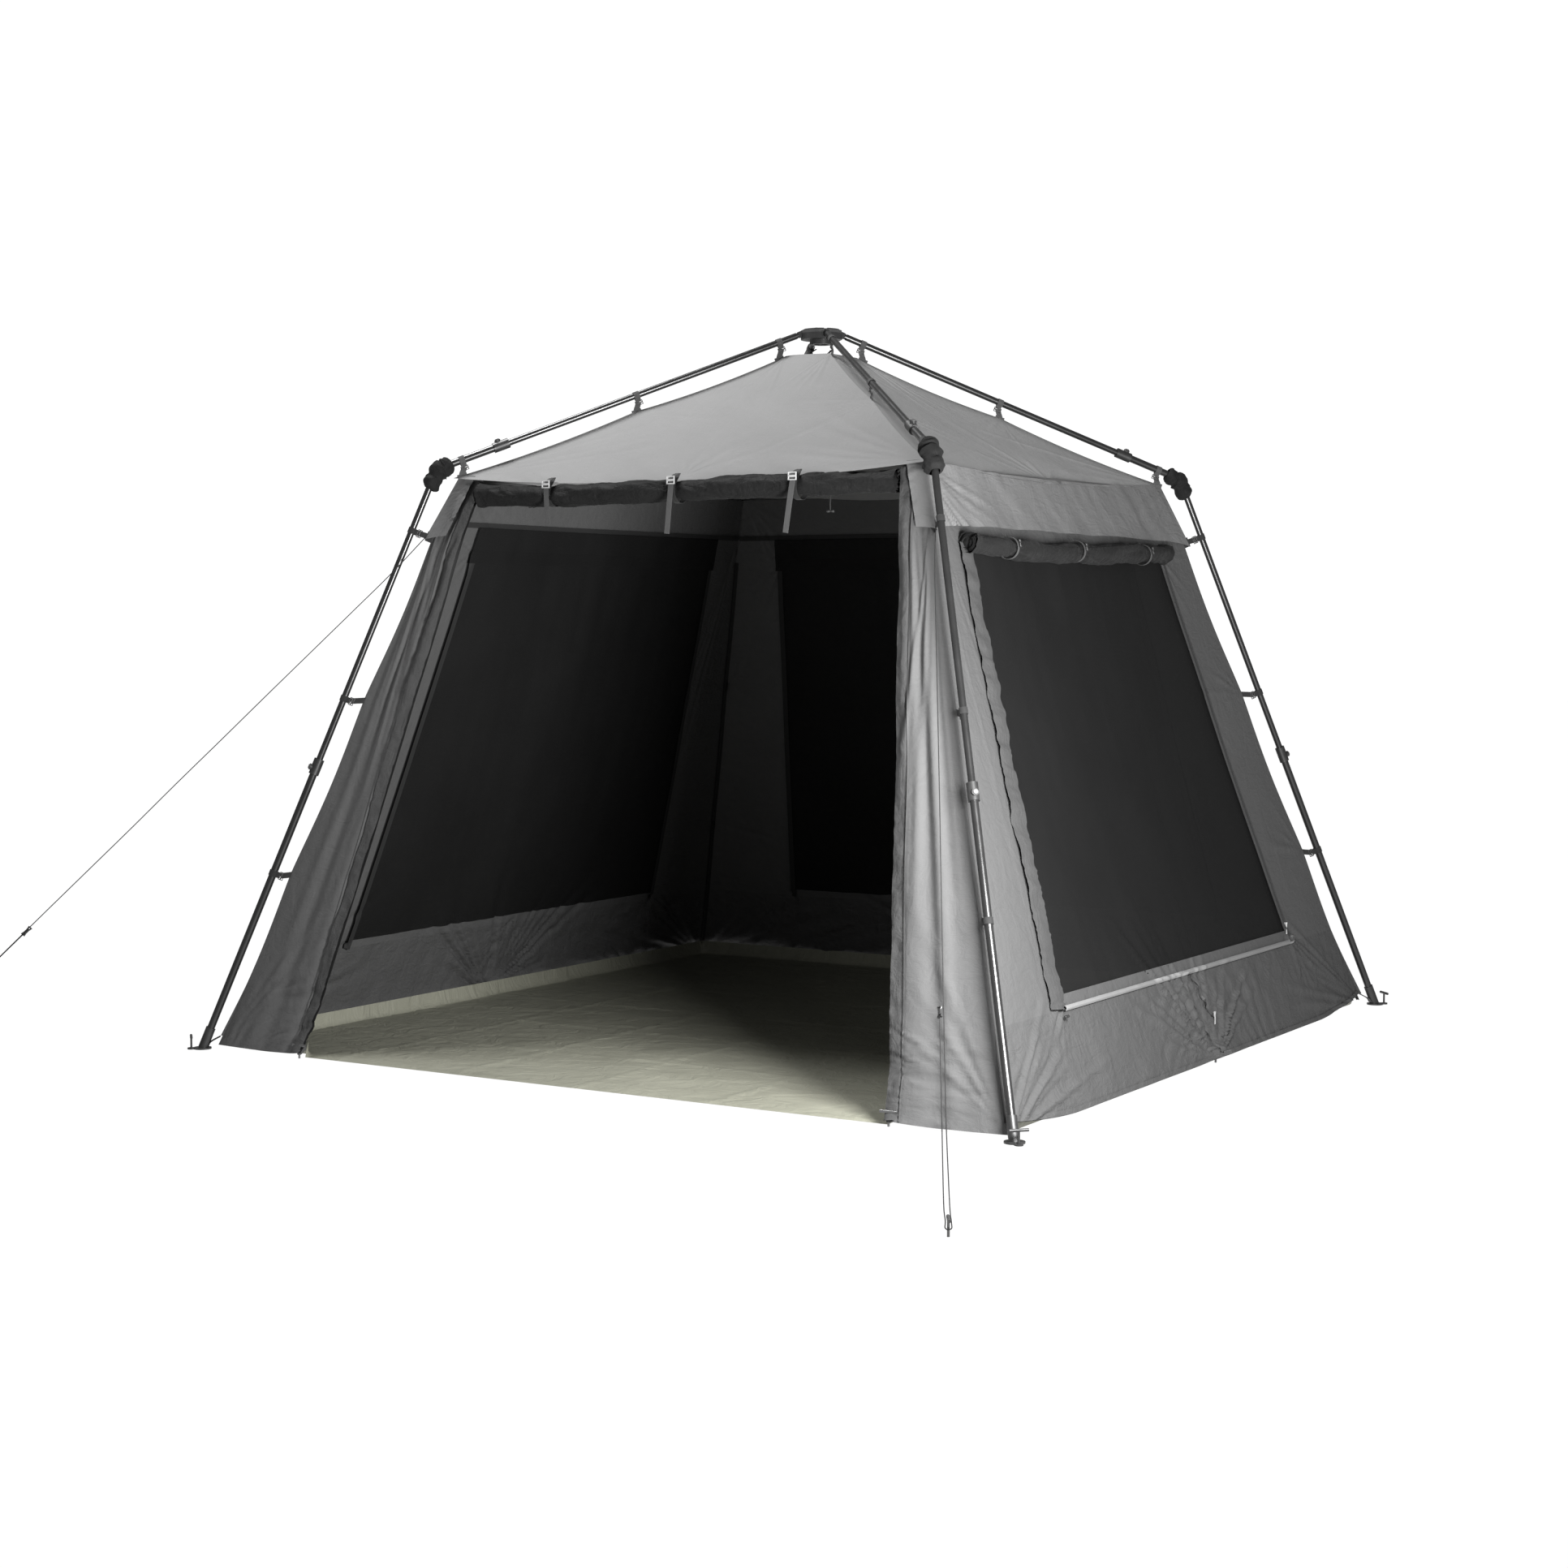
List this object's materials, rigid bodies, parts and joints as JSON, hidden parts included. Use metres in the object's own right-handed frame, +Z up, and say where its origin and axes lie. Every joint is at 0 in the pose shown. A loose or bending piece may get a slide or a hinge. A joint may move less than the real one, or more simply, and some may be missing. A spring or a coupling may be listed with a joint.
{
  "type": "screen house",
  "caption": "Square screen house hung inside a black folding tube frame, with a rolled door, mesh windows, groundsheet, pegs and guy lines.",
  "frame": {"origin": "on the ground at the centre of the tent, straight under the hub", "axes": "+Z up, the doorway faces -Y, the window with the rolled cover faces +X"},
  "size_m": [3.7358, 4.1249, 2.4275],
  "materials": {
    "pole_steel": "semi-gloss black powder coat",
    "black_plastic": "matt moulded",
    "button_plastic": "satin moulded",
    "bright_steel": "bright zinc",
    "roof_fabric": "coated polyester, light grey",
    "wall_fabric": "coated polyester, mid grey",
    "insect_mesh": "fine black net",
    "ground_fabric": "coated woven sheet",
    "peg_steel": "dark painted",
    "guy_cord": "braided cord",
    "webbing": "woven webbing",
    "sleeve": "padded sleeve"
  },
  "bodies": {
    "tent": {"roof": "roof_fabric", "wall_front": "wall_fabric", "wall_left": "wall_fabric", "wall_right": "wall_fabric", "wall_rear": "wall_fabric", "window_meshes": "insect_mesh", "door_roll": "wall_fabric", "window_roll": "wall_fabric", "groundsheet": "ground_fabric", "hem_pegs": "peg_steel", "guy_pegs": "peg_steel", "guy_left": "guy_cord", "guy_front": "guy_cord"},
    "hub": {"hub_top": "black_plastic", "hub_cup": "black_plastic", "hub_pins": "bright_steel"},
    "arm_inner_fl": {"arm_inner_fl": "pole_steel"},
    "arm_outer_fl": {"arm_outer_fl": "pole_steel", "arm_lock_fl": "black_plastic", "elbow_upper_fl": "black_plastic"},
    "arm_button_fl": {"arm_button_fl": "button_plastic"},
    "leg_upper_fl": {"leg_upper_fl": "pole_steel", "elbow_lower_fl": "black_plastic"},
    "leg_lower_fl": {"leg_lower_fl": "pole_steel", "leg_lock_fl": "black_plastic", "foot_fl": "black_plastic"},
    "leg_button_fl": {"leg_button_fl": "button_plastic"},
    "arm_inner_fr": {"arm_inner_fr": "pole_steel"},
    "arm_outer_fr": {"arm_outer_fr": "pole_steel", "arm_lock_fr": "black_plastic", "elbow_upper_fr": "black_plastic"},
    "arm_button_fr": {"arm_button_fr": "button_plastic"},
    "leg_upper_fr": {"leg_upper_fr": "pole_steel", "elbow_lower_fr": "black_plastic"},
    "leg_lower_fr": {"leg_lower_fr": "pole_steel", "leg_lock_fr": "black_plastic", "foot_fr": "black_plastic"},
    "leg_button_fr": {"leg_button_fr": "button_plastic"},
    "arm_inner_rr": {"arm_inner_rr": "pole_steel"},
    "arm_outer_rr": {"arm_outer_rr": "pole_steel", "arm_lock_rr": "black_plastic", "elbow_upper_rr": "black_plastic"},
    "arm_button_rr": {"arm_button_rr": "button_plastic"},
    "leg_upper_rr": {"leg_upper_rr": "pole_steel", "elbow_lower_rr": "black_plastic"},
    "leg_lower_rr": {"leg_lower_rr": "pole_steel", "leg_lock_rr": "black_plastic", "foot_rr": "black_plastic"},
    "leg_button_rr": {"leg_button_rr": "button_plastic"},
    "arm_inner_rl": {"arm_inner_rl": "pole_steel"},
    "arm_outer_rl": {"arm_outer_rl": "pole_steel", "arm_lock_rl": "black_plastic", "elbow_upper_rl": "black_plastic"},
    "arm_button_rl": {"arm_button_rl": "button_plastic"},
    "leg_upper_rl": {"leg_upper_rl": "pole_steel", "elbow_lower_rl": "black_plastic"},
    "leg_lower_rl": {"leg_lower_rl": "pole_steel", "leg_lock_rl": "black_plastic", "foot_rl": "black_plastic"},
    "leg_button_rl": {"leg_button_rl": "button_plastic"}
  },
  "joints": [
    {"name": "fold", "type": "slide", "parent": "tent", "child": "hub", "axis": [0, 0, -1], "range_m": [0, 2.268], "deforming": ["roof", "wall_front", "wall_left", "wall_right", "wall_rear", "window_meshes", "door_roll", "window_roll", "guy_left", "guy_front"]},
    {"name": "arm_swing_fl", "type": "hinge", "parent": "hub", "child": "arm_inner_fl", "pos_m": [-0.04384, -0.04384, 2.41], "axis": [-0.7071, 0.7071, 0], "range_deg": [0, 108.2]},
    {"name": "arm_slide_fl", "type": "slide", "parent": "arm_inner_fl", "child": "arm_outer_fl", "axis": [0.6604, 0.6604, 0.3574], "range_m": [0, 0.1292]},
    {"name": "leg_fold_fl", "type": "hinge", "parent": "arm_outer_fl", "child": "leg_upper_fl", "pos_m": [-0.93086, -0.93086, 1.91175], "axis": [0.7071, -0.7071, 0], "range_deg": [0, 130.4]},
    {"name": "leg_slide_fl", "type": "slide", "parent": "leg_upper_fl", "child": "leg_lower_fl", "axis": [0.269, 0.269, 0.9248], "range_m": [0, 0.7384]},
    {"name": "arm_press_fl", "type": "slide", "parent": "arm_outer_fl", "child": "arm_button_fl", "axis": [0.2527, 0.2527, -0.9339], "range_m": [0, 0.0025], "stiffness_N_per_m": 600, "springref_m": -0.001},
    {"name": "leg_press_fl", "type": "slide", "parent": "leg_lower_fl", "child": "leg_button_fl", "axis": [0.6539, 0.6539, -0.3805], "range_m": [0, 0.0025], "stiffness_N_per_m": 600, "springref_m": -0.001},
    {"name": "arm_swing_fr", "type": "hinge", "parent": "hub", "child": "arm_inner_fr", "pos_m": [0.04384, -0.04384, 2.41], "axis": [-0.7071, -0.7071, 0], "range_deg": [0, 108.2]},
    {"name": "arm_slide_fr", "type": "slide", "parent": "arm_inner_fr", "child": "arm_outer_fr", "axis": [-0.6604, 0.6604, 0.3574], "range_m": [0, 0.1292]},
    {"name": "leg_fold_fr", "type": "hinge", "parent": "arm_outer_fr", "child": "leg_upper_fr", "pos_m": [0.93086, -0.93086, 1.91175], "axis": [0.7071, 0.7071, 0], "range_deg": [0, 130.4]},
    {"name": "leg_slide_fr", "type": "slide", "parent": "leg_upper_fr", "child": "leg_lower_fr", "axis": [-0.269, 0.269, 0.9248], "range_m": [0, 0.7384]},
    {"name": "arm_press_fr", "type": "slide", "parent": "arm_outer_fr", "child": "arm_button_fr", "axis": [-0.2527, 0.2527, -0.9339], "range_m": [0, 0.0025], "stiffness_N_per_m": 600, "springref_m": -0.001},
    {"name": "leg_press_fr", "type": "slide", "parent": "leg_lower_fr", "child": "leg_button_fr", "axis": [-0.6539, 0.6539, -0.3805], "range_m": [0, 0.0025], "stiffness_N_per_m": 600, "springref_m": -0.001},
    {"name": "arm_swing_rr", "type": "hinge", "parent": "hub", "child": "arm_inner_rr", "pos_m": [0.04384, 0.04384, 2.41], "axis": [0.7071, -0.7071, 0], "range_deg": [0, 108.2]},
    {"name": "arm_slide_rr", "type": "slide", "parent": "arm_inner_rr", "child": "arm_outer_rr", "axis": [-0.6604, -0.6604, 0.3574], "range_m": [0, 0.1292]},
    {"name": "leg_fold_rr", "type": "hinge", "parent": "arm_outer_rr", "child": "leg_upper_rr", "pos_m": [0.93086, 0.93086, 1.91175], "axis": [-0.7071, 0.7071, 0], "range_deg": [0, 130.4]},
    {"name": "leg_slide_rr", "type": "slide", "parent": "leg_upper_rr", "child": "leg_lower_rr", "axis": [-0.269, -0.269, 0.9248], "range_m": [0, 0.7384]},
    {"name": "arm_press_rr", "type": "slide", "parent": "arm_outer_rr", "child": "arm_button_rr", "axis": [-0.2527, -0.2527, -0.9339], "range_m": [0, 0.0025], "stiffness_N_per_m": 600, "springref_m": -0.001},
    {"name": "leg_press_rr", "type": "slide", "parent": "leg_lower_rr", "child": "leg_button_rr", "axis": [-0.6539, -0.6539, -0.3805], "range_m": [0, 0.0025], "stiffness_N_per_m": 600, "springref_m": -0.001},
    {"name": "arm_swing_rl", "type": "hinge", "parent": "hub", "child": "arm_inner_rl", "pos_m": [-0.04384, 0.04384, 2.41], "axis": [0.7071, 0.7071, 0], "range_deg": [0, 108.2]},
    {"name": "arm_slide_rl", "type": "slide", "parent": "arm_inner_rl", "child": "arm_outer_rl", "axis": [0.6604, -0.6604, 0.3574], "range_m": [0, 0.1292]},
    {"name": "leg_fold_rl", "type": "hinge", "parent": "arm_outer_rl", "child": "leg_upper_rl", "pos_m": [-0.93086, 0.93086, 1.91175], "axis": [-0.7071, -0.7071, 0], "range_deg": [0, 130.4]},
    {"name": "leg_slide_rl", "type": "slide", "parent": "leg_upper_rl", "child": "leg_lower_rl", "axis": [0.269, -0.269, 0.9248], "range_m": [0, 0.7384]},
    {"name": "arm_press_rl", "type": "slide", "parent": "arm_outer_rl", "child": "arm_button_rl", "axis": [0.2527, -0.2527, -0.9339], "range_m": [0, 0.0025], "stiffness_N_per_m": 600, "springref_m": -0.001},
    {"name": "leg_press_rl", "type": "slide", "parent": "leg_lower_rl", "child": "leg_button_rl", "axis": [0.6539, -0.6539, -0.3805], "range_m": [0, 0.0025], "stiffness_N_per_m": 600, "springref_m": -0.001}
  ],
  "couplings": [
    {"joint": "arm_swing_fl", "follows": "fold", "rad_per_m": 0.82998},
    {"joint": "leg_fold_fl", "follows": "fold", "rad_per_m": 1.0007},
    {"joint": "arm_slide_fl", "follows": "fold", "ratio": 0.056769},
    {"joint": "leg_slide_fl", "follows": "fold", "ratio": 0.32533},
    {"joint": "arm_swing_fr", "follows": "fold", "rad_per_m": 0.82998},
    {"joint": "leg_fold_fr", "follows": "fold", "rad_per_m": 1.0007},
    {"joint": "arm_slide_fr", "follows": "fold", "ratio": 0.056769},
    {"joint": "leg_slide_fr", "follows": "fold", "ratio": 0.32533},
    {"joint": "arm_swing_rr", "follows": "fold", "rad_per_m": 0.82998},
    {"joint": "leg_fold_rr", "follows": "fold", "rad_per_m": 1.0007},
    {"joint": "arm_slide_rr", "follows": "fold", "ratio": 0.056769},
    {"joint": "leg_slide_rr", "follows": "fold", "ratio": 0.32533},
    {"joint": "arm_swing_rl", "follows": "fold", "rad_per_m": 0.82998},
    {"joint": "leg_fold_rl", "follows": "fold", "rad_per_m": 1.0007},
    {"joint": "arm_slide_rl", "follows": "fold", "ratio": 0.056769},
    {"joint": "leg_slide_rl", "follows": "fold", "ratio": 0.32533}
  ]
}
